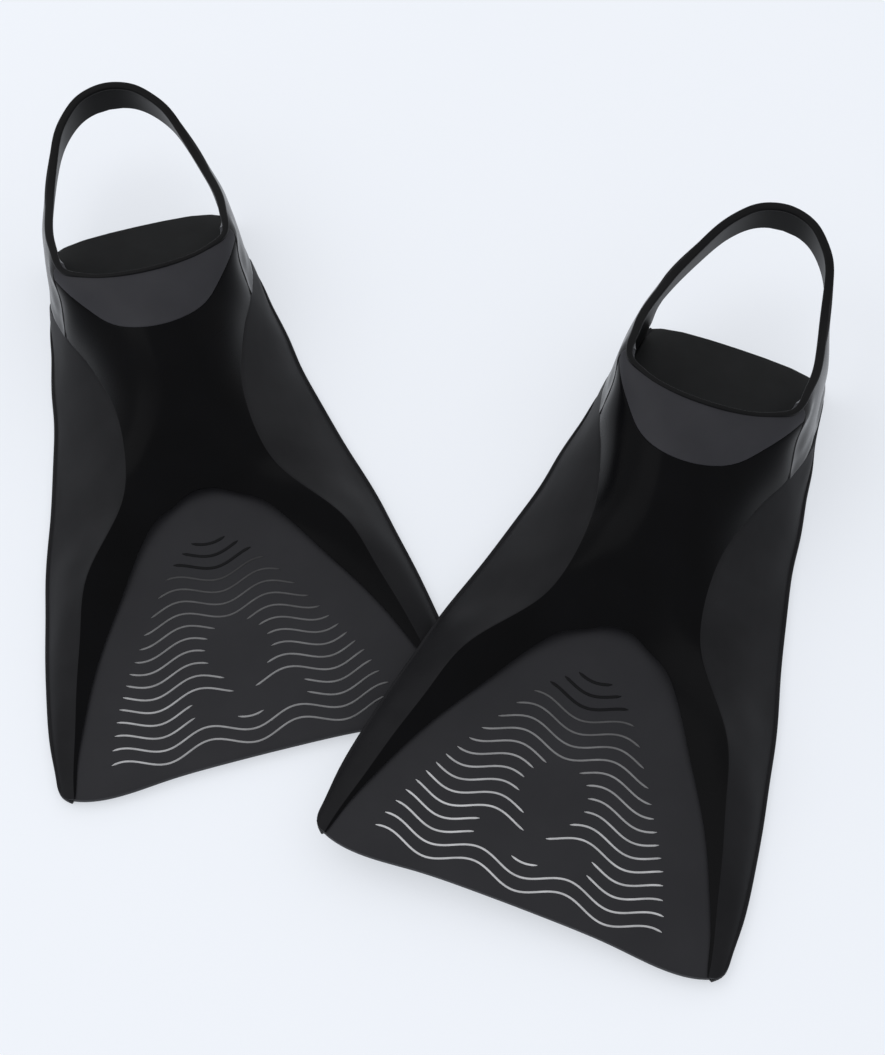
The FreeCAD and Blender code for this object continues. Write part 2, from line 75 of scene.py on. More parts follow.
def splineWeights(knots, places):
    # A natural cubic spline as a matrix: row by row, the share that each knot's value has at a place.
    # The second derivatives come from one linear system, so the shares do too.
    knots, places = np.asarray(knots, float), np.asarray(places, float)
    last, step, unit = len(knots) - 1, np.diff(knots), np.eye(len(knots))
    system, right = np.eye(last + 1), np.zeros((last + 1, last + 1))
    inner = np.arange(1, last)
    system[inner, inner - 1], system[inner, inner + 1] = step[:-1], step[1:]
    system[inner, inner] = 2 * (step[:-1] + step[1:])
    slopes = (unit[1:] - unit[:-1]) / step[:, None]
    right[inner] = 6 * (slopes[1:] - slopes[:-1])
    bend = np.linalg.solve(system, right)
    span = np.clip(np.searchsorted(knots, places) - 1, 0, last - 1)
    after = ((places - knots[span]) / step[span])[:, None]
    before = 1 - after
    curved = (before**3 - before) * bend[span] + (after**3 - after) * bend[span + 1]
    return before * unit[span] + after * unit[span + 1] + curved * (step[span] ** 2 / 6)[:, None]


def eased(share):
    # Holds a share s between 0 and 1 and rounds both ends of its ramp: 3 s^2 - 2 s^3.
    share = np.clip(share, 0, 1)
    return share * share * (3 - 2 * share)


def halved(low, high, short):
    # The places between low and high where short(places) stops being true, by thirty halvings.
    for halving in range(30):
        middle = (low + high) / 2
        under = short(middle)
        low, high = np.where(under, middle, low), np.where(under, high, middle)
    return low


def runningLength(points):
    # The length of the line up to each of its points.
    return np.concatenate([[0], np.cumsum(np.linalg.norm(np.diff(points, axis=0), axis=1))])


def smoothLine(points, count):
    # One spline through the points against their running length, at evenly spaced lengths.
    points = np.asarray(points, float)
    run = runningLength(points)
    return splineWeights(run, np.linspace(0, run[-1], count)) @ points


def straightLine(points, count):
    # Straight runs between the points, at evenly spaced lengths, with a sample moved onto each corner.
    points = np.asarray(points, float)
    run = runningLength(points)
    places = np.linspace(0, run[-1], count)
    places[np.argmin(abs(places[:, None] - run[None]), axis=0)] = run
    return np.stack([np.interp(places, run, column) for column in points.T], axis=1)


def mirrorLine(right):
    # The right half, which starts on the centre line, carried on to the left: left end first.
    right = np.asarray(right, float)
    left = right[:0:-1] * ([-1] + [1] * (right.shape[1] - 1))
    return np.concatenate([left, right])


def patch(back, front, left, right):
    # A Coons patch: the sheet ruled from back to front, plus the sheet ruled from left to right, less
    # the plain bilinear sheet between the four corners. Rows run from back to front.
    u = np.linspace(0, 1, len(back))[None, :, None]
    v = np.linspace(0, 1, len(left))[:, None, None]
    ruledOne = (1 - v) * back[None] + v * front[None]
    ruledTwo = (1 - u) * left[:, None] + u * right[:, None]
    corners = (1 - v) * ((1 - u) * back[0] + u * back[-1]) + v * ((1 - u) * front[0] + u * front[-1])
    return ruledOne + ruledTwo - corners


def quads(index):
    # Four-sided faces between neighbouring entries of a grid of point numbers.
    corners = [index[:-1, :-1], index[:-1, 1:], index[1:, 1:], index[1:, :-1]]
    return np.stack([c.ravel() for c in corners], axis=1)


def gridFaces(rows, columns, closed=False):
    # The faces of a grid of points, and those across the join if its rows close into rings.
    index = np.arange(rows * columns).reshape(rows, columns)
    return quads(np.concatenate([index, index[:, :1]], axis=1) if closed else index)


def sweep(path, profile, widths=None, closed=False):
    # A profile (sideways, up) carried along a path. Every section stands square to the path's direction
    # in plan, and its sideways part is scaled by the width there. Open ends are capped with a fan.
    path, profile = np.asarray(path, float), np.asarray(profile, float)
    ahead = np.roll(path, -1, 0) - np.roll(path, 1, 0) if closed else np.gradient(path, axis=0)
    sideways = np.cross(ahead, [0, 0, 1.0])
    sideways /= np.linalg.norm(sideways, axis=1)[:, None]
    widths = np.ones(len(path)) if widths is None else widths
    points = (path[:, None] + sideways[:, None] * (profile[None, :, :1] * widths[:, None, None])
              + np.array([0, 0, 1.0]) * profile[None, :, 1:])
    rows, columns = points.shape[:2]
    points = points.reshape(-1, 3)
    if closed:
        ring = np.arange(rows + 1) % rows
        return points, quads(ring[:, None] * columns + np.arange(columns + 1)[None] % columns)
    faces = gridFaces(rows, columns, closed=True)
    ends = []
    for row, middle in ((0, rows * columns), (rows - 1, rows * columns + 1)):
        ring = row * columns + np.arange(columns)
        ends.append(np.stack([ring, np.roll(ring, -1), np.full(columns, middle)], axis=1))
    caps = np.concatenate([e if i else e[:, ::-1] for i, e in enumerate(ends)])
    points = np.concatenate([points, path[:1], path[-1:]])
    return points, [*faces, *caps]


def roundedProfile(width, height, radius, steps=5):
    # A rectangle with rounded corners, anticlockwise: quarter circles about the four inner corners.
    turn = np.linspace(0, math.pi / 2, steps)
    quarter = np.stack([np.cos(turn), np.sin(turn)], axis=1) * radius
    corner = np.array([width / 2 - radius, height / 2 - radius])
    signs = np.array([[1, 1], [-1, 1], [-1, -1], [1, -1]])
    arcs = [(quarter if i % 2 == 0 else quarter[::-1]) * s + corner * s for i, s in enumerate(signs)]
    return np.concatenate(arcs)


def makePiece(name, parts, place, wall=None, bevel=None, values=None):
    # Joins (points, faces) parts in a fin's frame into one mesh, merges their shared edges, turns the
    # faces one way and gives an open sheet its wall and its rounded edges. values are named series with
    # one number for each point, and finPlace is each point's place in the fin's frame, in metres.
    points, faces, start = [], [], 0
    for partPoints, partFaces in parts:
        partPoints = np.asarray(partPoints, float).reshape(-1, 3)
        points.append(partPoints)
        faces += [[int(corner) + start for corner in face] for face in partFaces]
        start += len(partPoints)
    local = np.concatenate(points)
    mesh = bpy.data.meshes.new(name)
    mesh.from_pydata(place(local).tolist(), [], faces)
    own = mesh.attributes.new("finPlace", "FLOAT_VECTOR", "POINT")
    own.data.foreach_set("vector", (local * 0.001).astype(np.float32).ravel())
    for key, series in (values or {}).items():
        extra = mesh.attributes.new(key, "FLOAT", "POINT")
        extra.data.foreach_set("value", np.asarray(series, np.float32))
    work = bmesh.new()
    work.from_mesh(mesh)
    bmesh.ops.remove_doubles(work, verts=work.verts, dist=0.00001)
    bmesh.ops.recalc_face_normals(work, faces=work.faces)
    work.to_mesh(mesh)
    work.free()
    mesh.polygons.foreach_set("use_smooth", np.ones(len(mesh.polygons), bool))
    piece = bpy.data.objects.new(name, mesh)
    bpy.context.scene.collection.objects.link(piece)
    if wall:
        thicken = piece.modifiers.new("wall", "SOLIDIFY")
        thicken.thickness, thicken.offset, thicken.use_even_offset = wall * 0.001, -1, False
    if bevel:
        rounding = piece.modifiers.new("edges", "BEVEL")
        rounding.width, rounding.segments, rounding.angle_limit = bevel * 0.001, 2, math.radians(50)
        rounding.limit_method = "ANGLE"
    return piece


def gridPart(grid):
    # A grid of points with its faces, as makePiece takes them.
    return grid, gridFaces(*grid.shape[:2])


def faceUp(piece, outwards):
    # An open sheet is turned as a whole so that its faces look along outwards(points), which is given
    # for the middle of each face.
    mesh = piece.data
    centres, normals = np.zeros(len(mesh.polygons) * 3), np.zeros(len(mesh.polygons) * 3)
    mesh.polygons.foreach_get("center", centres)
    mesh.polygons.foreach_get("normal", normals)
    agree = np.einsum("ij,ij->i", normals.reshape(-1, 3), outwards(centres.reshape(-1, 3)))
    if agree.sum() < 0:
        mesh.flip_normals()
    return piece


# The upper's cross-sections.

# Distance ahead and half-width of the bead, then (across, up) of the panel's middle, the crease, the
# shoulder, the slope and a point beside the crown. Beyond the web's root the web hides that last point.
sections = np.array([
    (-50, 51.8, 50.6, 12, 48.6, 28, 46.4, 43, 43.6, 58, 14.5, 75.8),
    (-24, 55, 53.6, 13, 51.6, 29, 49.8, 45, 47.6, 62, 15.9, 79.8),
    (0, 58, 56.4, 14, 54.2, 30, 52, 47, 49.5, 65.5, 16.5, 81.9),
    (15, 61, 59, 14, 55.6, 30, 52.4, 48, 48.8, 67, 16.3, 77.7),
    (31, 63, 58.2, 16, 52.8, 32, 49.3, 51, 43, 67.5, 14.3, 73.3),
    (43, 65, 57.7, 17, 51.2, 31.5, 46.5, 51, 36, 67.5, 12, 71.9),
    (58, 67.3, 57.5, 18, 46, 34, 39.5, 51, 26, 65, 8.7, 69.9),
    (75, 69, 55.5, 20, 40.5, 36, 32, 51.5, 17, 64, 5.7, 67.1),
    (100, 73.5, 54.5, 21, 34.6, 37.8, 24, 48, 12, 55, 4, 56.8),
    (122, 78, 56.5, 21, 33.8, 37.2, 23, 42, 12, 44.5, 4, 44.9),
    (140, 82, 60.5, 20.5, 36, 35.2, 24, 36, 12, 34.2, 4.4, 33.6),
    (157, 86.3, 65, 20, 41.8, 32.6, 28, 28.5, 16, 23.9, 7.5, 22.5),
    (176, 90.5, 74, 19.5, 55, 31, 44, 25.5, 34, 20, 24, 16),
    (194, 93.5, 81, 17.5, 67.5, 29, 57, 22.5, 46, 18, 35, 15),
    (220, 98, 89, 13, 76.5, 22, 70, 18.3, 62, 14.7, 54, 11.1),
    (245, 101.5, 94.3, 10.5, 83.5, 17, 79.5, 14.8, 74.5, 12.4, 69.5, 10),
    (272, 104.1, 98.4, 8.5, 90, 12, 88, 11, 85.5, 9.8, 83, 8.6),
    (301, 104.6, 100.5, 6.3, 96.4, 7.4, 95.5, 7.1, 94, 6.8, 92.5, 6.5),
    (318, 104.6, 100.7, 5.9, 97.5, 6.6, 96.5, 6.4, 95, 6.1, 93.5, 5.8),
])
stationAhead = sections[:, 0]
panelFoot = {"inset": 1.4, "up": 4.4}       # where the panel starts, inwards from the bead's line and up
foot = np.stack([sections[:, 1] - panelFoot["inset"], np.full(len(sections), panelFoot["up"])], axis=1)
panelRing = np.stack([foot, sections[:, 2:4], sections[:, 4:6]], axis=1)
halfRing = sections[:, 4:].reshape(-1, 4, 2)
archRing = np.concatenate([halfRing * [-1, 1], halfRing[:, ::-1]], axis=1)
creaseAt = 3.5                              # the right-hand crease's place around the arch


def onRing(ring, firstRing, ahead, around):
    # A point of the upper: the stations' ring points are splined along the fin at its distance ahead,
    # then splined round the section at its place around.
    shape = np.shape(ahead)
    along = splineWeights(stationAhead, np.ravel(ahead))
    about = splineWeights(firstRing + np.arange(ring.shape[1]), np.ravel(around))
    flat = np.einsum("na,nac->nc", about, np.einsum("ns,sac->nac", along, ring))
    return np.stack([flat[:, 0], np.ravel(ahead), flat[:, 1]], axis=1).reshape(*shape, 3)


rails = {"from": 163, "to": 185}            # distances ahead


def onArch(ahead, around):
    # A point of the arch: 0 is the crown and creaseAt the right-hand crease. Past the web's apex the two
    # sides become rails, so the spline over the whole section turns, between two distances ahead, into
    # one over that side's own four points.
    whole = onRing(archRing, -creaseAt, ahead, around)
    side = onRing(halfRing[:, ::-1], 0.5, ahead, np.abs(around))
    side[..., 0] *= np.sign(around)
    share = eased((np.asarray(ahead) - rails["from"]) / (rails["to"] - rails["from"]))[..., None]
    return whole * (1 - share) + side * share


def onPanel(ahead, around):
    # A point of the right-hand side panel: 0 is the bead and 2 the crease.
    return onRing(panelRing, 0, ahead, around)


def archPlaces(points):
    # The (ahead, around) of plan points (across, ahead): around is found by halving, because the
    # section always gets wider on the way from the crown to the crease.
    across, ahead = np.asarray(points, float).T
    around = halved(np.zeros(len(across)), np.full(len(across), creaseAt),
                    lambda middle: onArch(ahead, middle)[:, 0] < abs(across))
    return np.stack([ahead, np.sign(across) * around], axis=1)


def heightPlaces(surface, span, ahead, heights):
    # The places around, within a span, at which a side of the upper reaches each height.
    low, high = [np.full(len(heights), float(end)) for end in span]
    return halved(low, high, lambda middle: surface(ahead, middle)[:, 2] < heights)


def archHeights(ahead, heights):
    # The places around at which the arch's right-hand side reaches each height.
    fromCrease = heightPlaces(lambda a, r: onArch(a, creaseAt - r), (0, creaseAt), ahead, heights)
    return creaseAt - fromCrease


# Lines that neighbouring pieces share: the right half, in plan as (across, ahead) unless a note says
# otherwise.
lines = {
    "collarEdge": [(0, 76), (11, 74.5), (19.5, 70), (27.5, 62.5), (34, 54), (41, 44), (46, 35)],
    "webEdge": [(0, 154), (7, 155), (15, 159), (26, 165.6), (37, 177.6), (52, 202), (64, 222),
                (75.5, 244), (85, 267), (92.5, 288.5), (95.6, 301), (96.55, 304)],
    "gussetFront": [(42, 30.5), (28, 57.5), (22, 69)],      # these two are (ahead, up)
    "gussetFoot": [(42, 30.5), (17, 24), (-8, 5)],
    "trailing": [(0, 303.5), (25, 303.7), (50, 304.7), (75, 306.7), (86, 306.2), (95, 304.2),
                 (100, 302.2)],
    "heel": [(55, -24), (54, -30), (52.4, -34.5), (49, -39.4), (43, -42.2), (32, -44.2), (16, -45.1),
             (0, -45.3)],
}
tipAhead = 303.6
heelAcross, heelBack = np.array(lines["heel"], float).T * [[1], [-1]]


def gussetAround(ahead):
    # The place around of the gusset's front line at distances ahead.
    line = np.array(lines["gussetFront"][::-1])
    return archHeights(ahead, np.interp(ahead, line[:, 0], line[:, 1]))


def gussetPlan(ahead):
    # The plan point (across, ahead) of that front line at a distance ahead.
    return onArch(np.array([ahead]), gussetAround(np.array([ahead])))[0, :2].tolist()


lines["collarEdge"].append(gussetPlan(26.2))


# Materials.

def linear(code):
    # An sRGB hex colour as linear red, green, blue and alpha.
    parts = [int(code[i:i + 2], 16) / 255 for i in (1, 3, 5)]
    return [p / 12.92 if p <= 0.04045 else ((p + 0.055) / 1.055) ** 2.4 for p in parts] + [1.0]


def addNode(tree, kind, inputs=None, **settings):
    # Adds one node: settings are its own values, inputs are sockets to link or values to set.
    node = tree.nodes.new(kind)
    for key, value in settings.items():
        setattr(node, key, value)
    for key, value in (inputs or {}).items():
        if isinstance(value, bpy.types.NodeSocket):
            tree.links.new(value, node.inputs[key])
        else:
            node.inputs[key].default_value = value
    return node


def startMaterial(name, uniform):
    # A new material whose shader has the values that are the same all over its surface.
    material = bpy.data.materials.new(name)
    material.use_nodes = True
    tree = material.node_tree
    shader = tree.nodes["Principled BSDF"]
    for key, value in uniform.items():
        shader.inputs[key].default_value = value
    return material, tree, shader


def mouldedMaterial(name, look):
    # Injection-moulded rubber or plastic: two close colours drift into each other, roughness follows
    # faint flow marks along the fin, and the mould's spark-eroded grain gives the bump.
    uniform = {"IOR": look["ior"], "Specular IOR Level": look["gloss"]}
    material, tree, shader = startMaterial(name, uniform)
    if look.get("ownPlace", True):
        place = addNode(tree, "ShaderNodeAttribute", attribute_name="finPlace").outputs["Vector"]
    else:
        place = addNode(tree, "ShaderNodeTexCoord").outputs["Object"]
    stretched = addNode(tree, "ShaderNodeVectorMath", {0: place, 1: (1, look["flowStretch"], 1)},
                        operation="MULTIPLY").outputs[0]
    # Every pattern's size is in millimetres, and its scale is how many of them go into a metre.
    flow = addNode(tree, "ShaderNodeTexNoise", {"Vector": stretched, "Scale": 1000 / look["flowSize"],
                                               "Detail": 3, "Roughness": 0.5}).outputs["Fac"]
    grain = addNode(tree, "ShaderNodeTexNoise", {"Vector": place, "Scale": 1000 / look["grainSize"],
                                                "Detail": 2, "Roughness": 0.6}).outputs["Fac"]
    dust = addNode(tree, "ShaderNodeTexNoise", {"Vector": place, "Scale": 1000 / look["driftSize"],
                                               "Detail": 4, "Roughness": 0.55}).outputs["Fac"]
    drift = addNode(tree, "ShaderNodeMapRange",
                    {"Value": dust, "From Min": 0.3, "From Max": 0.7}).outputs[0]
    colour = addNode(tree, "ShaderNodeMix", {"Factor": drift, 6: linear(look["colour"]),
                                            7: linear(look["second"])}, data_type="RGBA").outputs[2]
    tree.links.new(colour, shader.inputs["Base Color"])
    low, high = look["roughness"]
    rough = addNode(tree, "ShaderNodeMapRange", {"Value": flow, "From Min": 0.25, "From Max": 0.75,
                                                "To Min": low, "To Max": high}).outputs[0]
    tree.links.new(rough, shader.inputs["Roughness"])
    broad = addNode(tree, "ShaderNodeBump", {"Height": flow, "Strength": look["flowBump"],
                                            "Distance": 0.0004}).outputs[0]
    fine = addNode(tree, "ShaderNodeBump", {"Height": grain, "Strength": look["grainBump"],
                                           "Distance": 0.0001, "Normal": broad}).outputs[0]
    tree.links.new(fine, shader.inputs["Normal"])
    return material


# Flexible thermoplastic elastomer from a polished mould: near black, with soft clear reflections and
# slight flow marks that bend them.
glossLook = {"colour": "#070708", "second": "#0a0a0c", "roughness": (0.22, 0.30), "ior": 1.5,
             "gloss": 0.042, "flowSize": 30, "flowStretch": 0.4, "flowBump": 0.05, "grainSize": 0.9,
             "grainBump": 0.03, "driftSize": 40}
# Natural rubber blend from a spark-eroded mould: a dry, charcoal surface with fine grain.
panelLook = {"colour": "#161618", "second": "#1d1d1f", "roughness": (0.42, 0.58), "ior": 1.5,
             "gloss": 0.08, "flowSize": 26, "flowStretch": 0.25, "flowBump": 0.08, "grainSize": 0.8,
             "grainBump": 0.25, "driftSize": 30}
# Softer elastomer round the foot, from a finely blasted mould: a little bluish, with a dry bloom.
collarLook = {"colour": "#28282c", "second": "#2d2d31", "roughness": (0.50, 0.60), "ior": 1.5,
              "gloss": 0.18, "flowSize": 35, "flowStretch": 0.5, "flowBump": 0.05, "grainSize": 0.7,
              "grainBump": 0.2, "driftSize": 25}
# The same elastomer on the ankle and the strap, smoother there: it mirrors a pale floor at a low angle.
bandLook = {**collarLook, "colour": "#141415", "second": "#18181a", "roughness": (0.22, 0.30),
            "gloss": 0.2, "grainBump": 0.08}
# The side of it that faces the foot: duller, and darker by painted shade inside the foot pocket.
shadedLiningLook = {**bandLook, "colour": "#0d0d0e", "second": "#111112", "roughness": (0.30, 0.40),
              "gloss": 0.06}
# Its rolled edge: darker than the collar, and smoother, with the closed skin that a mould's parting edge leaves.
rimLook = {**collarLook, "colour": "#0d0d0e", "second": "#121213", "roughness": (0.36, 0.46),
           "gloss": 0.08}
# Stiffer rubber for the blade's web: flat, even and matte.
webLook = {"colour": "#232326", "second": "#28282b", "roughness": (0.50, 0.58), "ior": 1.5,
           "gloss": 0.15, "flowSize": 60, "flowStretch": 0.4, "flowBump": 0.04, "grainSize": 0.7,
           "grainBump": 0.2, "driftSize": 45}
# Rubber sole and footbed: hard-wearing, dull, with a pebbled mould grain. The toe wall comes without
# finPlace, so its pattern follows Object coordinates.
soleLook = {"colour": "#1d1e1f", "second": "#232425", "roughness": (0.62, 0.75), "ior": 1.5,
            "gloss": 0.2, "flowSize": 30, "flowStretch": 1, "flowBump": 0.05, "grainSize": 1.4,
            "grainBump": 0.45, "driftSize": 18}

finishes = {
    "gloss_saddle": mouldedMaterial("polishedElastomer", glossLook),
    "panel_rubber": mouldedMaterial("sparkGrainRubber", panelLook),
    "collar_rubber": mouldedMaterial("blastedElastomer", collarLook),
    "ankleBand": mouldedMaterial("smoothElastomer", bandLook),
    "shadedLining": mouldedMaterial("shadedLiningElastomer", shadedLiningLook),
    "rolledRim": mouldedMaterial("rolledElastomer", rimLook),
    "web_rubber": mouldedMaterial("bladeRubber", webLook),
    "sole_rubber": mouldedMaterial("pebbledSoleRubber", soleLook),
    "toeWall": mouldedMaterial("pebbledWallRubber", {**soleLook, "ownPlace": False}),
}


# The grey pigment as the lines show it at full painted sheen; each line mixes to it from the black rubber by its
# painted sheen and its wear.
lineLook = {"colour": "#c4c4c6", "rubber": "#0a0a0c", "roughness": (0.45, 0.65), "ior": 1.5,
            "gloss": 0.12, "rubSize": 9, "worn": (0.78, 1.0), "bump": 0.2}


def ribMaterial():
    # Raised lines in grey pigmented rubber, with painted sheen: dark near the foot and paler towards the tip, as
    # the lines catch the light, which each line carries as a value. Rubbed patches show a little of the black
    # rubber below.
    uniform = {"IOR": lineLook["ior"], "Specular IOR Level": lineLook["gloss"]}
    material, tree, shader = startMaterial("greyLineRubber", uniform)
    paintedSheen = addNode(tree, "ShaderNodeAttribute", attribute_name="paintedSheen").outputs["Fac"]
    place = addNode(tree, "ShaderNodeAttribute", attribute_name="finPlace").outputs["Vector"]
    rub = addNode(tree, "ShaderNodeTexNoise", {"Vector": place, "Scale": 1000 / lineLook["rubSize"],
                                              "Detail": 4}).outputs["Fac"]
    low, high = lineLook["worn"]
    worn = addNode(tree, "ShaderNodeMapRange", {"Value": rub, "From Min": 0.35, "From Max": 0.65,
                                               "To Min": low, "To Max": high}).outputs[0]
    amount = addNode(tree, "ShaderNodeMath", {0: paintedSheen, 1: worn}, operation="MULTIPLY").outputs[0]
    colour = addNode(tree, "ShaderNodeMix", {"Factor": amount, 6: linear(lineLook["rubber"]),
                                            7: linear(lineLook["colour"])}, data_type="RGBA").outputs[2]
    tree.links.new(colour, shader.inputs["Base Color"])
    low, high = lineLook["roughness"]
    rough = addNode(tree, "ShaderNodeMapRange",
                    {"Value": rub, "To Min": low, "To Max": high}).outputs[0]
    tree.links.new(rough, shader.inputs["Roughness"])
    bump = addNode(tree, "ShaderNodeBump", {"Height": rub, "Strength": lineLook["bump"],
                                           "Distance": 0.0001}).outputs[0]
    tree.links.new(bump, shader.inputs["Normal"])
    return material


finishes["rib_grey"] = ribMaterial()
print("materials made")


def dress(piece, slot, body, *nodes, finish=None):
    # Gives a piece its finish, looked up by slot unless finish names it, hides the CAD nodes it stands for, and
    # sets it on its body.
    piece.data.materials.append(finishes[finish or slot])
    if nodes:
        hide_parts(*nodes)
    if body:
        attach(piece, body)
    return piece


# Gloss saddle: between the creases, from the collar's edge to the edge of the web.

# split is how far ahead the rails begin, tuck how far the saddle's side slips under the ankle band.
saddle = {"split": 161, "mouth": 30, "rail": 40, "along": 96, "railRows": 110, "wall": 4.6,
          "bevel": 0.5, "tuck": 1.2}


def webPlaces(ahead):
    # The web's edge as (ahead, around) at distances ahead of its apex.
    edge = smoothLine(lines["webEdge"], 400)
    across = np.interp(ahead, edge[:, 1], edge[:, 0])
    return archPlaces(np.stack([across, ahead], axis=1))


def saddleSheets():
    # The middle is a patch in (ahead, around): the collar's edge behind, the gusset's front line and the
    # crease on each side, and in front the web's blunt apex with a straight run out to each crease. From
    # there two rails go on to the tip: rows at one distance ahead, from the web's edge to the crease.
    mouth, rail = saddle["mouth"], saddle["rail"]
    edge = smoothLine(lines["webEdge"], 400)
    blunt = archPlaces(smoothLine(edge[edge[:, 1] <= saddle["split"]], mouth))
    start = blunt[-1, 0]
    out = np.stack([np.full(rail, start), np.linspace(blunt[-1, 1], creaseAt, rail)], axis=1)
    front = mirrorLine(np.concatenate([blunt, out[1:]])[:, ::-1])[:, ::-1]
    back = archPlaces(smoothLine(mirrorLine(lines["collarEdge"]), len(front)))
    knee = lines["gussetFront"][0][0]
    ahead = np.linspace(back[-1, 0], start, saddle["along"])
    ahead[np.argmin(abs(ahead - knee))] = knee
    beside = ahead < knee
    around = np.full(len(ahead), creaseAt)
    around[beside] = gussetAround(ahead[beside])
    ahead[beside] -= saddle["tuck"] * np.sin(np.linspace(0, math.pi, beside.sum()))
    right = np.stack([ahead, around], axis=1)
    right[0] = back[-1]
    middle = patch(back, front, right * [1, -1], right)
    rows = webPlaces(np.linspace(start, tipAhead, saddle["railRows"]))
    rows[0] = blunt[-1]
    share = np.linspace(0, 1, rail)[None]
    railAround = rows[:, 1:] + (creaseAt - rows[:, 1:]) * share
    railAhead = rows[:, :1] * np.ones_like(share)
    return onArch(middle[..., 0], middle[..., 1]), onArch(railAhead, railAround)


# Instep collar: the softer patch behind the saddle, up to the rim of the foot opening.

collar = {"across": 150, "along": 34, "wall": 3.0, "bevel": 0.5, "proud": 0.35, "tuck": 0.8,
          "rim": [(0, 43), (18, 41.5), (26, 39.3), (36, 33.9), (42.6, 27.7), gussetPlan(22)]}


def collarSheet():
    # A patch in (ahead, around) between the rim and the saddle's edge, standing proud of the saddle.
    back = archPlaces(smoothLine(mirrorLine(collar["rim"]), collar["across"]))
    front = archPlaces(smoothLine(mirrorLine(lines["collarEdge"]), collar["across"]))
    ahead = np.linspace(back[-1, 0], front[-1, 0], collar["along"])
    tucked = ahead - collar["tuck"] * np.sin(np.linspace(0, math.pi, len(ahead)))
    right = np.stack([tucked, gussetAround(ahead)], axis=1)
    right[0], right[-1] = back[-1], front[-1]
    grid = patch(back, front, right * [1, -1], right)
    return onArch(grid[..., 0], grid[..., 1]) + [0, 0, collar["proud"]]


# Side panels: from the bead to the crease, and back to the gusset.

# corner and tip are how far ahead the panel reaches at the bead and at the crease.
panel = {"along": 200, "up": 24, "wall": 2.6, "bevel": 0.5, "tuck": 1.2, "corner": 298.6, "tip": 303.3}


def panelSheet():
    # A patch in (ahead, around): bead below, crease above, the gusset's foot behind, and the tip.
    kneeLine = straightLine(lines["gussetFoot"], panel["up"])[::-1] - [panel["tuck"], 0]
    around = heightPlaces(onPanel, (0, 2), kneeLine[:, 0], kneeLine[:, 1])
    behind = np.stack([kneeLine[:, 0], around], axis=1)
    behind[0, 1], behind[-1, 1] = 0, 2
    count, corner, end = panel["along"], panel["corner"], panel["tip"]
    below = np.stack([np.linspace(kneeLine[0, 0], corner, count), np.zeros(count)], axis=1)
    above = np.stack([np.linspace(kneeLine[-1, 0], end, count), np.full(count, 2.0)], axis=1)
    tip = np.stack([corner + (end - corner) * np.sin(np.linspace(0, math.pi / 2, panel["up"])),
                    np.linspace(0, 2, panel["up"])], axis=1)
    grid = patch(below, above, behind, tip)
    return onPanel(grid[..., 0], grid[..., 1])


# Ankle gussets and heel strap: one moulding from the saddle round the heel and back.

# The strap leans outwards from its plan line by lean for each millimetre below leanFrom. Its sections
# stand at the tub distances ahead; those under creaseUp lie on the panel. evenFrom, evenOver and
# evenUnit belong to the even ankle wall, and planEnds are the plan's neighbours at its two ends.
strap = {"wall": 3.6, "bevel": 0.6, "proud": 0.4, "lean": 0.14, "leanFrom": 66, "creaseUp": 29,
         "evenFrom": 31, "evenOver": 14, "evenUnit": 50, "runUp": 45,
         "joint": 22, "wallUp": 30, "wallAlong": 90, "along": 70,
         "plan": [(43.4, -40), (38.4, -60), (32.8, -76), (25.7, -87), (18, -94.5), (10, -98.5),
                  (0, -100), (-10, -98.5), (-18, -94.5)],
         "planEnds": [(48.5, -18), (-25.7, -87)],
         "tub": [46, 41, 36, 31, 26, 21, 15, 8, 0, -9, -19],
         "heights": [5, 11, 17, 23, 28, 33, 39, 45, 51, 57, 63, 69],
         "rearEdge": [(-33, 5), (-33.4, 10), (-33.9, 16), (-34.3, 23), (-35.4, 30), (-39, 34.6)],
         "rim": [(22, 69), (15, 68), (1, 66), (-18, 63), (-39, 60.6)],
         "lower": [(-39, 34.6), (-50, 38.8), (-60, 41), (-76, 43.4), (-87, 44.8), (-94.5, 45.7),
                   (-98.5, 46.2), (-100, 46.3)],
         "upper": [(-39, 60.6), (-60, 62.6), (-76, 65), (-87, 66.3), (-94.5, 67.3), (-98.5, 67.8),
                   (-100, 68)]}
bend = {"from": 43.5, "to": 63, "direction": (0, -0.9, 0.436)}     # where the strap sets in to bend; the two points are worked out below and not used
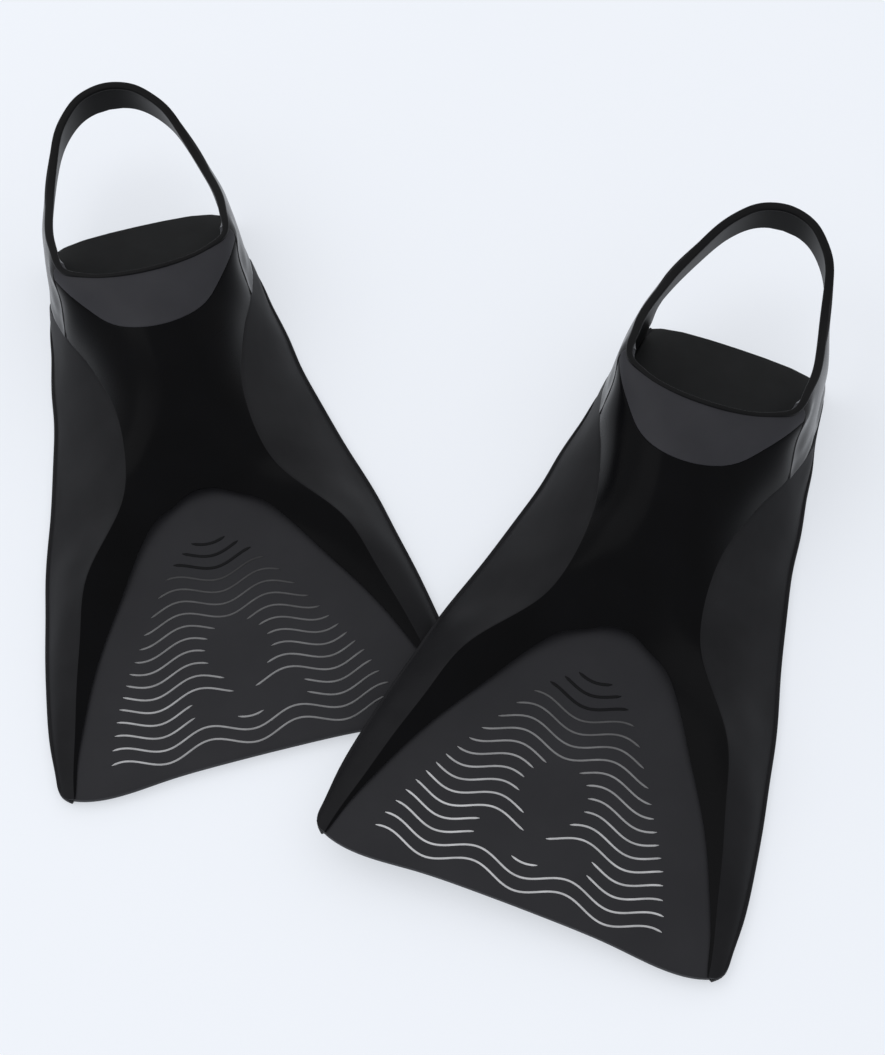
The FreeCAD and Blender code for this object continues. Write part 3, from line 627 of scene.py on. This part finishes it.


def strapColumns():
    # Plan places (across, ahead) of the band at a few heights: the upper's own sections beside the foot,
    # and behind it the strap's plan line moved outwards by its lean for each millimetre down.
    heights = np.array(strap["heights"], float)
    tub = []
    for ahead in strap["tub"]:
        low, high = heights[heights < strap["creaseUp"]], heights[heights > strap["creaseUp"]]
        side = np.full(len(low), float(ahead)), np.full(len(high), float(ahead))
        lowAcross = onPanel(side[0], heightPlaces(onPanel, (0, 2), side[0], low))[:, 0]
        highAcross = onArch(side[1], archHeights(side[1], high))
        tub.append(np.concatenate([lowAcross, highAcross[:, 0]]))
    # Away from its front lines the wall leaves those sections for one even surface: a polynomial of the
    # third degree in the distance ahead and in the height, fitted to them.
    tub, (ahead, up) = np.array(tub), np.meshgrid(strap["tub"], heights, indexing="ij")
    unit = strap["evenUnit"]
    terms = np.polynomial.polynomial.polyvander2d(ahead / unit, up / unit, [3, 3])
    near = ahead <= strap["evenFrom"]
    even = terms @ np.linalg.lstsq(terms[near], tub[near], rcond=None)[0]
    edge = lines["gussetFront"][::-1] + lines["gussetFoot"][1:] + [strap["rearEdge"][0]]
    front = straightLine(edge, 300)
    away = np.hypot(ahead[..., None] - front[:, 0], up[..., None] - front[:, 1]).min(axis=-1)
    share = eased(away / strap["evenOver"]) * (ahead < np.interp(up, front[::-1, 1], front[::-1, 0]))
    tub = np.stack([tub * (1 - share) + even * share + strap["proud"] * (1 - share), ahead], axis=2)
    plan = np.array(strap["plan"], float)
    first, final = strap["planEnds"]
    tangent = np.gradient(np.concatenate([[first], plan, [final]]), axis=0)[1:-1]
    outwards = np.stack([-tangent[:, 1], tangent[:, 0]], axis=1)
    outwards /= np.linalg.norm(outwards, axis=1)[:, None]
    spread = strap["lean"] * (strap["leanFrom"] - heights)
    band = plan[:, None] + outwards[:, None] * spread[None, :, None]
    return np.concatenate([tub, band])


heelKeep = {"below": 30, "over": 12, "gap": 0.4}        # sets in over a height, and stands off by the gap


def insideHeel(points):
    # Low down, the band's rear corner keeps inside the heel's outline.
    limit = np.interp(-points[..., 1], heelBack, heelAcross) + heelKeep["gap"]
    low = np.clip((heelKeep["below"] - points[..., 2]) / heelKeep["over"], 0, 1)
    over = np.maximum(points[..., 0] - limit, 0) * low * (points[..., 1] > -heelBack[-1])
    return points - over[..., None] * [1, 0, 0]


# left and right are how far each fin's strap moves across, on its left-hand and its right-hand side.
hang = {"from": -34, "over": 45, "aboveUp": 44, "fade": 18, "halfWidth": 40,
        "left": (1.7, -1), "right": (4.7, 1.1)}


def swayed(points, sway):
    # A soft strap hangs a little to one side. Each side of the loop moves across by its own distance,
    # the right-hand one only above the strap's lower edge. Both set in smoothly behind the ankle.
    behind = eased((hang["from"] - points[..., 1]) / hang["over"])
    above = np.clip((points[..., 2] - hang["aboveUp"]) / hang["fade"], 0, 1)
    side = np.clip(points[..., 0] / hang["halfWidth"], -1, 1)
    shift = (sway[0] * (1 - side) + sway[1] * above * (1 + side)) / 2
    return points + (shift * behind)[..., None] * [1, 0, 0]


bandColumns = strapColumns()
bandRun = runningLength(bandColumns[:, strap["heights"].index(strap["runUp"])])


def onStrap(places):
    # A point of the band from (run, height): splined over the columns' running length round the heel,
    # then over the heights.
    shape = places.shape[:-1]
    over = splineWeights(bandRun, places[..., 0].ravel())
    up = splineWeights(strap["heights"], places[..., 1].ravel())
    flat = np.einsum("nh,nhc->nc", up, np.einsum("nk,khc->nhc", over, bandColumns))
    return np.concatenate([flat, places[..., 1].reshape(-1, 1)], axis=1).reshape(*shape, 3)


def runAt(ahead):
    # The run at a distance ahead, read back from the spline: distances fall on the way to the middle of
    # the heel, which is the last column but two.
    known = np.array(strap["tub"] + [p[1] for p in strap["plan"]], float)
    runs = np.linspace(0, bandRun[-3], 900)
    return np.interp(-np.asarray(ahead, float), -splineWeights(bandRun, runs) @ known, runs)


def toRuns(line):
    # A line's (ahead, height) as (run, height).
    return np.stack([runAt(line[:, 0]), line[:, 1]], axis=1)


def strapSheets():
    # Two patches in (run, height) that share the line across the band behind the ankle: the ankle
    # wall in front of it, and the strap from there to the middle of the heel.
    foot = straightLine(lines["gussetFoot"] + [strap["rearEdge"][0]], strap["wallAlong"])
    top = smoothLine(strap["rim"], strap["wallAlong"])
    front = straightLine(lines["gussetFront"], strap["joint"] + strap["wallUp"] - 1)
    rear = smoothLine(strap["rearEdge"], strap["wallUp"])
    across = np.linspace(strap["rearEdge"][-1], strap["rim"][-1], strap["joint"])
    wall = patch(*[toRuns(line) for line in (foot, top, front, np.concatenate([rear, across[1:]]))])
    lower, upper = [smoothLine(strap[edge], strap["along"]) for edge in ("lower", "upper")]
    middle = np.linspace(strap["lower"][-1], strap["upper"][-1], strap["joint"])
    band = patch(*[toRuns(line) for line in (lower, upper, across, middle)])
    return insideHeel(onStrap(wall)), onStrap(band)


# Rolled rim round the foot opening and along the top of the strap.

rim = {"loop": [(0, 42.4, 72.1), (18, 40.8, 71.5), (26, 38.7, 70.8), (37, 33.2, 69.4), (44, 27.2, 68.4),
                (46.3, 20, 67.8), (46.7, 12, 66.6), (47.2, 1, 64.9), (45.2, -18, 62), (41, -40, 59.6),
                (36.3, -60, 61.6), (31, -75, 64), (24, -85.2, 65.3), (16.8, -92.2, 66.3), (9, -96, 66.8),
                (0, -97.5, 67)],
       "height": 2.6, "radius": 1.0, "count": 320, "shape": 4.6,
       "width": [(-100, 4.8), (0, 4.6), (18, 4.0), (30, 3.0), (45, 2.6)]}       # (ahead, width)


def rimLoop():
    # The right half and its mirror image as one closed line, with three points repeated at each end so
    # that the spline runs smoothly over the join.
    right = np.array(rim["loop"], float)
    loop = np.concatenate([right, right[-2:0:-1] * [-1, 1, 1]])
    padded = np.concatenate([loop[-3:], loop, loop[:4]])
    run = runningLength(padded)
    places = np.linspace(run[3], run[-4], rim["count"], endpoint=False)
    return splineWeights(run, places) @ padded


# Web, wave ribs, sole and beads. The web's upper face falls from rootUp to tipUp over fall, and goes
# tuck under the saddle's lip, less the share tuckLoss of it at the tip.
web = {"across": 80, "along": 90, "rootUp": 19.3, "tipUp": 6.2, "fall": 150, "rootAhead": 154,
       "length": 149.5, "crowd": 1.7, "wall": 3.2, "bevel": 0.5, "tuck": 3.2, "tuckLoss": 0.6}


def webUp(ahead):
    # The height of the web's upper face: a straight fall from its root to its tip.
    return web["rootUp"] - (web["rootUp"] - web["tipUp"]) * (ahead - web["rootAhead"]) / web["fall"]


def webHalf(ahead):
    # Half the web's width, read straight between the points of its edge.
    edge = np.array(lines["webEdge"])
    return np.interp(ahead, edge[:, 1], edge[:, 0])


def webSheet():
    # Rows go from the apex to the trailing edge, close together where the apex is blunt, and reach a
    # little way under the saddle's lip.
    root, tuck = web["rootAhead"], web["tuck"]
    v = (np.linspace(0, 1, web["along"]) ** web["crowd"])[:, None]
    u = np.linspace(-1, 1, web["across"])[None]
    edge = smoothLine(lines["webEdge"], 200)
    half = np.interp(root + web["length"] * v, edge[:, 1], edge[:, 0]) + tuck * (1 - web["tuckLoss"] * v)
    across = u * half
    trail = smoothLine(lines["trailing"], 200)
    ahead = root - tuck + (np.interp(abs(across), trail[:, 0], trail[:, 1]) - root + tuck) * v
    return np.stack([across, ahead, webUp(ahead)], axis=2)


# The bare places, an oval and a band, are given as (across, ahead, half-width, half-length). From the foot on, the
# first dark lines stay black. Each fin's other lines get a painted sheen, paler from near to tip as they catch the
# light, less a painted shade at one side; the right fin's lines are painted paler than the left's.
ribs = {"count": 17, "first": 180.2, "pitch": 7.1, "swing": 3.4, "length": 45.5, "centre": -2.8,
        "firstHalf": 9, "wider": 5.8, "margin": 21, "step": 0.6, "fewest": 8,
        "width": 1.05, "height": 0.34, "sunk": 0.2, "taper": 2, "thinnest": 0.12, "taperPower": 0.6,
        "bareRound": (-1.5, 246, 16.5, 17), "bareBand": (-1.5, 274.7, 28.5, 6.8),
        "dark": 3, "darkWidth": 1.6, "paling": 1.4, "palePower": 1.2, "sideHalf": 80,
        "left": {"near": 0.085, "tip": 0.52, "sideShade": 0.68},
        "right": {"near": 0.16, "tip": 1.0, "sideShade": 0.1}}


def ribParts(pale):
    # Each line is a cosine wave across the web. The runs outside the bare places become low half-round
    # ribs that taper to nothing at both ends.
    parts, paintedSheens = [], []
    turn = np.linspace(0, math.pi, 7)
    profile = np.stack([np.cos(turn) / 2, np.sin(turn) * ribs["height"]], axis=1)
    profile = np.concatenate([profile, [(-0.5, -ribs["sunk"]), (0.5, -ribs["sunk"])]])
    for number in range(ribs["count"]):
        middle = ribs["first"] + number * ribs["pitch"]
        half = min(ribs["firstHalf"] + ribs["wider"] * number, webHalf(middle) - ribs["margin"])
        across = ribs["centre"] + np.arange(-half, half, ribs["step"])
        wave = np.cos(2 * math.pi * (across - ribs["centre"]) / ribs["length"])
        ahead = middle + ribs["swing"] * wave
        x, s, wide, deep = ribs["bareRound"]
        drawn = ((across - x) / wide) ** 2 + ((ahead - s) / deep) ** 2 > 1
        x, s, wide, deep = ribs["bareBand"]
        drawn &= (abs(across - x) > wide) | (abs(ahead - s) > deep)
        ends = np.flatnonzero(np.diff(np.concatenate([[0], drawn.astype(int), [0]])))
        dark = number < ribs["dark"]
        # The painted sheen sets in after the dark lines and is full some way before the tip.
        step = min(ribs["paling"] * (number - ribs["dark"]) / (ribs["count"] - 1 - ribs["dark"]), 1)
        paintedSheen = 0 if dark else pale["near"] + (pale["tip"] - pale["near"]) * step ** ribs["palePower"]
        for start, stop in zip(ends[::2], ends[1::2]):
            if stop - start < ribs["fewest"]:
                continue
            path = np.stack([across, ahead, webUp(ahead)], axis=1)[start:stop]
            run = runningLength(path)
            taper = np.clip(np.minimum(run, run[-1] - run) / ribs["taper"], ribs["thinnest"], 1)
            wide = ribs["darkWidth"] if dark else ribs["width"]
            points, faces = sweep(path, profile, taper ** ribs["taperPower"] * wide)
            parts.append((points, faces))
            # Painted shade: the painted sheen falls off towards one side of the fin.
            paintedSheens.append(paintedSheen * (1 - pale["sideShade"] * points[:, 0] / ribs["sideHalf"]))
    return parts, np.concatenate(paintedSheens)


# Heights of the footbed's top and of the split between it and the tread. shares are the columns, as
# shares of the half-width, and edge is half the length of a groove's steep side.
sole = {"top": 5.0, "split": 3.0, "overlap": 0.1, "dish": 0.5, "dishFade": 12, "toe": 150.5,
        "inset": 4.3, "corner": 0.35, "rimShare": 0.99,
        "heelTo": -30, "heelRows": 40, "rowsFrom": -28, "rowStep": 3.5,
        "grooveFrom": -36, "grooveStep": 14, "grooveWide": 2, "grooveDeep": 1, "grooveHalf": 0.63,
        "edge": 0.08, "shares": [0, 0.2, 0.4, 0.6, 0.62, 0.64, 0.86, 0.97, 1]}


def soleHalf(ahead):
    # Half the sole's width: inside the beads, and round the heel its own outline.
    beside = splineWeights(stationAhead, ahead) @ sections[:, 1] - sole["inset"]
    heel = np.interp(-ahead, heelBack, heelAcross)
    return np.where(ahead < -heelBack[0], np.minimum(heel, beside), beside)


def slab(topUp, bottomUp, ahead):
    # A closed slab over the sole's outline. Every row is a ring: across the top, then back underneath.
    # topUp and bottomUp give the heights at (share of the half-width, ahead).
    right = np.array(sole["shares"])
    share = np.concatenate([-right[:0:-1], right])
    across = share[None] * soleHalf(ahead)[:, None]
    along = np.broadcast_to(ahead[:, None], across.shape)
    top = np.stack([across, along, topUp(share[None], along)], axis=2)
    bottom = np.stack([across, along, bottomUp(share[None], along)], axis=2)
    ring = np.concatenate([top, bottom[:, ::-1]], axis=1)
    rows, columns = ring.shape[:2]
    over = (rows - 1) * columns + np.arange(len(share))
    under = rows * columns - 1 - np.arange(len(share))
    return ring, np.concatenate([gridFaces(rows, columns, closed=True), quads(np.stack([over, under]))])


def level(up):
    # A level face for slab.
    return lambda share, along: np.full(along.shape, up)


def soleParts():
    # The footbed and the tread, as rows ahead: close together round the heel, and at a groove's sides.
    heel = np.linspace(-heelBack[-1], sole["heelTo"], sole["heelRows"])
    heel = heel[0] + (heel - heel[0]) ** 2 / (heel[-1] - heel[0])
    grooves = np.arange(sole["grooveFrom"], sole["toe"] - sole["grooveStep"], sole["grooveStep"])
    edge, wide = sole["edge"], sole["grooveWide"]
    sides = grooves[:, None] + np.array([-edge, edge, wide - edge, wide + edge])
    rows = np.arange(sole["rowsFrom"], sole["toe"], sole["rowStep"])
    ahead = np.unique(np.concatenate([heel, rows, sides.ravel(), [sole["toe"]]]).round(3))

    def bedUp(share, along):
        # The footbed is dished: a parabola across, faded out at the heel's edge, with a rounded rim.
        near = np.clip((along + heelBack[-1]) / sole["dishFade"], 0, 1)
        dish = sole["dish"] * (1 - share**2) * near
        return sole["top"] - dish - sole["corner"] * (abs(share) > sole["rimShare"])

    def treadUp(share, along):
        # The tread is level, with straight grooves across it that stop short of its edges.
        into = (along[..., None] > grooves) & (along[..., None] < grooves + sole["grooveWide"])
        return sole["grooveDeep"] * into.any(axis=-1) * (abs(share) < sole["grooveHalf"])

    bed = slab(bedUp, level(sole["split"] - sole["overlap"]), ahead)
    return bed, slab(level(sole["split"]), treadUp, ahead)


bead = {"width": 4.4, "height": 5, "radius": 1.3,
        "line": [(47.2, -39.5), (50.3, -34), (52.5, -24), (55.7, 0), (58.8, 15), (60.8, 31), (62.8, 43),
                 (65.1, 58), (66.8, 75), (71.3, 100), (75.8, 122), (79.8, 140), (84.1, 157), (88.3, 176),
                 (91.3, 194), (95.8, 220), (99.3, 245), (101.8, 272), (101.9, 290), (101, 297.6),
                 (97.5, 301.2)]}


def beadPart(sign):
    # A rounded bar along one edge of the sole, on the right with sign 1 and on the left with -1.
    path = smoothLine(bead["line"], 220)
    path = np.concatenate([path * [sign, 1], np.full((len(path), 1), bead["height"] / 2)], axis=1)
    return sweep(path, roundedProfile(bead["width"], bead["height"], bead["radius"]))


# Both fins.

mirror = np.array([-1, 1, 1])
footCentre = (0, 20, 30)                    # inside the foot pocket
for fin in ("left", "right"):
    place = placeOf(fin)
    body, strapBody, node = f"{fin}_fin", f"{fin}_strap", f"{fin}_fin_"
    upwards = place([0, 0, 1]) - place([0, 0, 0])
    centre = place(footCentre)

    def fromCentre(points):
        return points - centre

    def above(points):
        return np.broadcast_to(upwards, points.shape)

    middle, rail = saddleSheets()
    railFaces = gridFaces(*rail.shape[:2])
    parts = [gridPart(middle), (rail, railFaces), (rail * mirror, railFaces[:, ::-1])]
    piece = makePiece(f"{fin}_gloss_saddle", parts, place, saddle["wall"], saddle["bevel"])
    dress(faceUp(piece, above), "gloss_saddle", body, node + "upper_saddle")

    parts = [gridPart(collarSheet())]
    piece = makePiece(f"{fin}_instep_patch", parts, place, collar["wall"], collar["bevel"])
    dress(faceUp(piece, above), "collar_rubber", body, node + "instep_collar")

    grid = panelSheet()
    for side, sign in (("right", 1), ("left", -1)):
        parts = [gridPart(grid * [sign, 1, 1])]
        piece = makePiece(f"{fin}_panel_{side}", parts, place, panel["wall"], panel["bevel"])
        dress(faceUp(piece, above), "panel_rubber", body, f"{node}side_panel_{side}")
        piece = makePiece(f"{fin}_bead_{side}", [beadPart(sign)], place)
        dress(piece, "panel_rubber", body, f"{node}edge_bead_{side}")

    parts = []
    for sheet in strapSheets():
        faces = gridFaces(*sheet.shape[:2])
        parts += [(swayed(sheet, hang[fin]), faces), (swayed(sheet * mirror, hang[fin]), faces[:, ::-1])]
    piece = makePiece(f"{fin}_ankle_band", parts, place, strap["wall"], strap["bevel"])
    dress(faceUp(piece, fromCentre), "collar_rubber", None, node + "ankle_gusset_left",
          node + "ankle_gusset_right", node + "heel_strap", finish="ankleBand")
    piece.data.materials.append(finishes["shadedLining"])
    # The wall's inner side takes the lining with its painted shade.
    piece.modifiers["wall"].material_offset = 1         # the wall's inner side takes the lining
    bendFrom, bendTo = [place(np.array(bend["direction"]) * bend[end]) for end in ("from", "to")]
    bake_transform(piece)

    loop = swayed(rimLoop(), hang[fin])
    widths = np.interp(loop[:, 1], *np.array(rim["width"]).T)
    unitProfile = roundedProfile(rim["shape"], rim["height"], rim["radius"]) / [rim["shape"], 1]
    piece = makePiece(f"{fin}_rolled_rim", [sweep(loop, unitProfile, widths, closed=True)], place)
    dress(piece, "collar_rubber", None, finish="rolledRim")
    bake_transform(piece)

    piece = makePiece(f"{fin}_web_sheet", [gridPart(webSheet())], place, web["wall"], web["bevel"])
    dress(faceUp(piece, above), "web_rubber", body, node + "blade_web")

    parts, paintedSheens = ribParts(ribs[fin])
    piece = makePiece(f"{fin}_wave_lines", parts, place, values={"paintedSheen": paintedSheens})
    dress(piece, "rib_grey", body, node + "wave_ribs")

    bed, tread = soleParts()
    dress(makePiece(f"{fin}_dished_footbed", [bed], place), "sole_rubber", body, node + "footbed")
    dress(makePiece(f"{fin}_tread_sole", [tread], place), "sole_rubber", body, node + "sole_plate")

    kept = frame["nodes"][node + "toe_wall"]
    kept.data.materials.clear()
    kept.data.materials.append(finishes["toeWall"])
    print(fin, "fin built")


# Floor, light and camera.

stage = {"floor": "#f5f8fe", "second": "#f2f6fd", "half": 4.0, "world": "#fcfdff", "worldLevel": 0.86,
         "glow": "#f1f5fb", "glowShare": 0.6}


def makeFloor():
    # A flat sheet of matte paper, two near-white tones and a little tooth. What the camera and mirror
    # rays see of it is partly its own pale colour, so that the shadows on it stay light.
    half = stage["half"]
    mesh = bpy.data.meshes.new("paperSweep")
    corners = [(-half, -half, 0), (half, -half, 0), (half, half, 0), (-half, half, 0)]
    mesh.from_pydata(corners, [], [(0, 1, 2, 3)])
    floor = bpy.data.objects.new("paper_floor", mesh)
    bpy.context.scene.collection.objects.link(floor)
    material, tree, shader = startMaterial("mattePaper", {"Roughness": 0.9, "Specular IOR Level": 0.1})
    place = addNode(tree, "ShaderNodeTexCoord").outputs["Object"]
    tooth = addNode(tree, "ShaderNodeTexNoise",
                    {"Vector": place, "Scale": 4, "Detail": 3}).outputs["Fac"]
    colour = addNode(tree, "ShaderNodeMix", {"Factor": tooth, 6: linear(stage["floor"]),
                                            7: linear(stage["second"])}, data_type="RGBA").outputs[2]
    tree.links.new(colour, shader.inputs["Base Color"])
    rays = addNode(tree, "ShaderNodeLightPath").outputs
    seen = rays["Is Camera Ray"]
    for ray in ("Is Glossy Ray", "Is Transmission Ray"):
        seen = addNode(tree, "ShaderNodeMath", {0: seen, 1: rays[ray]}, operation="MAXIMUM").outputs[0]
    share = addNode(tree, "ShaderNodeMath", {0: seen, 1: stage["glowShare"]},
                    operation="MULTIPLY").outputs[0]
    glow = addNode(tree, "ShaderNodeEmission", {"Color": linear(stage["glow"]), "Strength": 1.0})
    mixed = addNode(tree, "ShaderNodeMixShader", {0: share, 1: shader.outputs[0], 2: glow.outputs[0]})
    tree.links.new(mixed.outputs[0], tree.nodes["Material Output"].inputs["Surface"])
    mesh.materials.append(material)


def makeWorld():
    world = bpy.data.worlds.new("studio")
    bpy.context.scene.world = world
    world.use_nodes = True
    sky = world.node_tree.nodes["Background"]
    sky.inputs["Color"].default_value = linear(stage["world"])
    sky.inputs["Strength"].default_value = stage["worldLevel"]


def standing(right, top, back, at):
    # The matrix that stands a lamp or a camera at a point, from the directions of its own three axes.
    axes = np.stack([right, top, back], axis=1)
    return Matrix([[*row, spot] for row, spot in zip(axes, at)] + [[0, 0, 0, 1]])


def makeLamp(name, at, towards, size, watts, tint):
    # A square soft box at a point, facing another point.
    lamp = bpy.data.lights.new(name, "AREA")
    lamp.shape, lamp.size, lamp.energy, lamp.color = "SQUARE", size, watts, linear(tint)[:3]
    holder = bpy.data.objects.new(name, lamp)
    bpy.context.scene.collection.objects.link(holder)
    back = np.array(at, float) - np.array(towards, float)
    back /= np.linalg.norm(back)
    right = np.cross([0, 0, 1.0], back)
    right /= np.linalg.norm(right)
    holder.matrix_world = standing(right, np.cross(back, right), back, at)


keyLamp = {"name": "keySoftBox", "at": (-1.15, 0.3, 1.5), "towards": (0, 0, 0), "size": 1.4, "watts": 6,
           "tint": "#ffffff"}
view = {"aim": (-0.00219, -0.00528, 0), "distance": 1.2253, "elevation": 58.05, "roll": -4.29,
        "lens": 79.26}


def makeCamera():
    # Stands off from the aim at the given elevation and turns about its own line of sight by the roll.
    tilt, roll = math.radians(view["elevation"]), math.radians(view["roll"])
    back = np.array([0, -math.cos(tilt), math.sin(tilt)])
    across, up = np.array([1.0, 0, 0]), np.array([0, math.sin(tilt), math.cos(tilt)])
    right = math.cos(roll) * across + math.sin(roll) * up
    top = -math.sin(roll) * across + math.cos(roll) * up
    at = np.array(view["aim"]) + back * view["distance"]
    data = bpy.data.cameras.new("camera")
    data.sensor_width, data.lens = 36, view["lens"]
    data.clip_start, data.clip_end = 0.05, 20
    camera = bpy.data.objects.new("camera", data)
    bpy.context.scene.collection.objects.link(camera)
    camera.matrix_world = standing(right, top, back, at)
    bpy.context.scene.camera = camera


makeFloor()
makeWorld()
makeLamp(**keyLamp)
makeCamera()
bpy.context.scene.view_settings.view_transform = "Standard"
print("floor, lamp and camera set")
